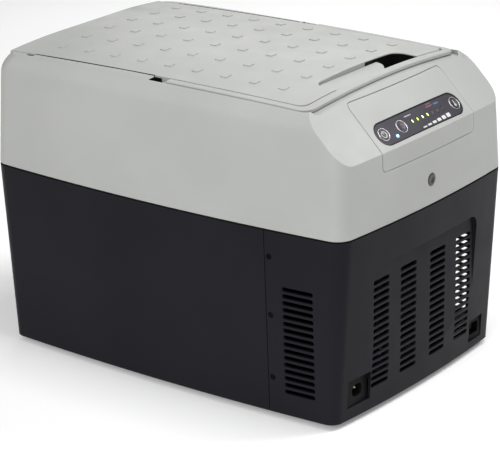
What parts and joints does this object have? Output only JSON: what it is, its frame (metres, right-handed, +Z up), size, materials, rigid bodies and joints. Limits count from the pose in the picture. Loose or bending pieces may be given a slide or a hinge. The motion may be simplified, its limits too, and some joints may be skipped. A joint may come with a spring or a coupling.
{
  "type": "portable thermoelectric cool box",
  "caption": "Portable thermoelectric cool box with a hinged treaded lid, a folding carry handle, a sloping keypad with level lights, and louvred air grilles at one end.",
  "frame": {"origin": "middle of the footprint, on the plane that the feet stand on", "axes": "+X towards the console and grille end, +Y across, +Z up; the lid hinges at the -X end"},
  "size_m": [0.45, 0.303, 0.3222],
  "materials": {
    "shell_grey": "fine moulded texture",
    "shell_dark": "fine moulded texture",
    "soft_black": "satin",
    "liner_grey": "smooth",
    "trim_black": "satin",
    "pad_dark": "satin",
    "key_grey": "satin",
    "chrome_trim": "polished",
    "plug_grey": "satin",
    "black_steel": "blackened",
    "foam": "cellular",
    "steel": "zinc plated",
    "aluminium": "extruded",
    "brass": "plated",
    "ceramic": "fired",
    "board_green": "lacquered",
    "coil_yellow": "taped",
    "sleeve_blue": "sleeved",
    "led_green": "lit",
    "led_off": "unlit",
    "led_blue": "lit",
    "cable_black": "satin"
  },
  "bodies": {
    "cabinet": {"upper_housing": "shell_grey", "lower_housing": "shell_dark", "end_cover": "shell_dark", "seam_seal": "soft_black", "inner_liner": "liner_grey", "insulation_foam": "foam", "finger_well": "trim_black", "lid_hinge_bushes": "trim_black", "handle_bushes": "trim_black", "console_cover": "shell_grey", "keypad_panel": "pad_dark", "key_rings": "chrome_trim", "level_leds_lit": "led_green", "level_leds_unlit": "led_off", "status_led": "led_blue", "control_board": "board_green", "key_switches": "trim_black", "board_posts": "trim_black", "console_plug": "plug_grey", "cold_heatsink": "aluminium", "cold_fan_frame": "trim_black", "cold_fan_cover": "liner_grey", "cold_block": "aluminium", "peltier_module": "ceramic", "module_frame": "foam", "clamp_screws": "steel", "hot_heatsink": "aluminium", "fan_bracket": "steel", "hot_fan_frame": "trim_black", "fan_screws": "steel", "power_board": "board_green", "power_board_legs": "trim_black", "transformer": "coil_yellow", "capacitors": "sleeve_blue", "power_heatsink": "aluminium", "ac_inlet": "trim_black", "ac_inlet_pins": "brass", "dc_inlet": "trim_black", "dc_inlet_pins": "brass", "cover_screws": "black_steel", "feet": "soft_black", "foot_screws": "steel", "temperature_sensor": "steel", "control_loom": "cable_black", "power_leads": "cable_black"},
    "lid": {"lid_shell": "shell_grey", "lid_notch_trim": "trim_black", "lid_liner": "liner_grey", "lid_foam": "foam", "lid_seal": "soft_black", "lid_hinge_pins": "steel"},
    "handle": {"carry_handle": "shell_grey", "handle_pins": "steel"},
    "power_button": {"power_key": "key_grey"},
    "mode_button": {"mode_key": "key_grey"},
    "temperature_button": {"temperature_key": "key_grey"},
    "hot_fan": {"hot_fan_rotor": "trim_black"},
    "cold_fan": {"cold_fan_rotor": "trim_black"}
  },
  "joints": [
    {"name": "lid_hinge", "type": "hinge", "parent": "cabinet", "child": "lid", "pos_m": [-0.198, 0, 0.3045], "axis": [0, -1, 0], "range_deg": [0, 95]},
    {"name": "handle_hinge", "type": "hinge", "parent": "cabinet", "child": "handle", "pos_m": [-0.004, 0, 0.3045], "axis": [0, -1, 0], "range_deg": [0, 90]},
    {"name": "power_button_travel", "type": "slide", "parent": "cabinet", "child": "power_button", "axis": [-0.7071, 0, -0.7071], "range_m": [0, 0.0005], "stiffness_N_per_m": 300, "springref_m": -0.0003},
    {"name": "mode_button_travel", "type": "slide", "parent": "cabinet", "child": "mode_button", "axis": [-0.7071, 0, -0.7071], "range_m": [0, 0.0005], "stiffness_N_per_m": 300, "springref_m": -0.0003},
    {"name": "temperature_button_travel", "type": "slide", "parent": "cabinet", "child": "temperature_button", "axis": [-0.7071, 0, -0.7071], "range_m": [0, 0.0005], "stiffness_N_per_m": 300, "springref_m": -0.0003},
    {"name": "hot_fan_spin", "type": "hinge", "parent": "cabinet", "child": "hot_fan", "pos_m": [0.178, 0, 0.088], "axis": [1, 0, 0], "continuous": true},
    {"name": "cold_fan_spin", "type": "hinge", "parent": "cabinet", "child": "cold_fan", "pos_m": [0.0714, 0, 0.088], "axis": [1, 0, 0], "continuous": true}
  ]
}
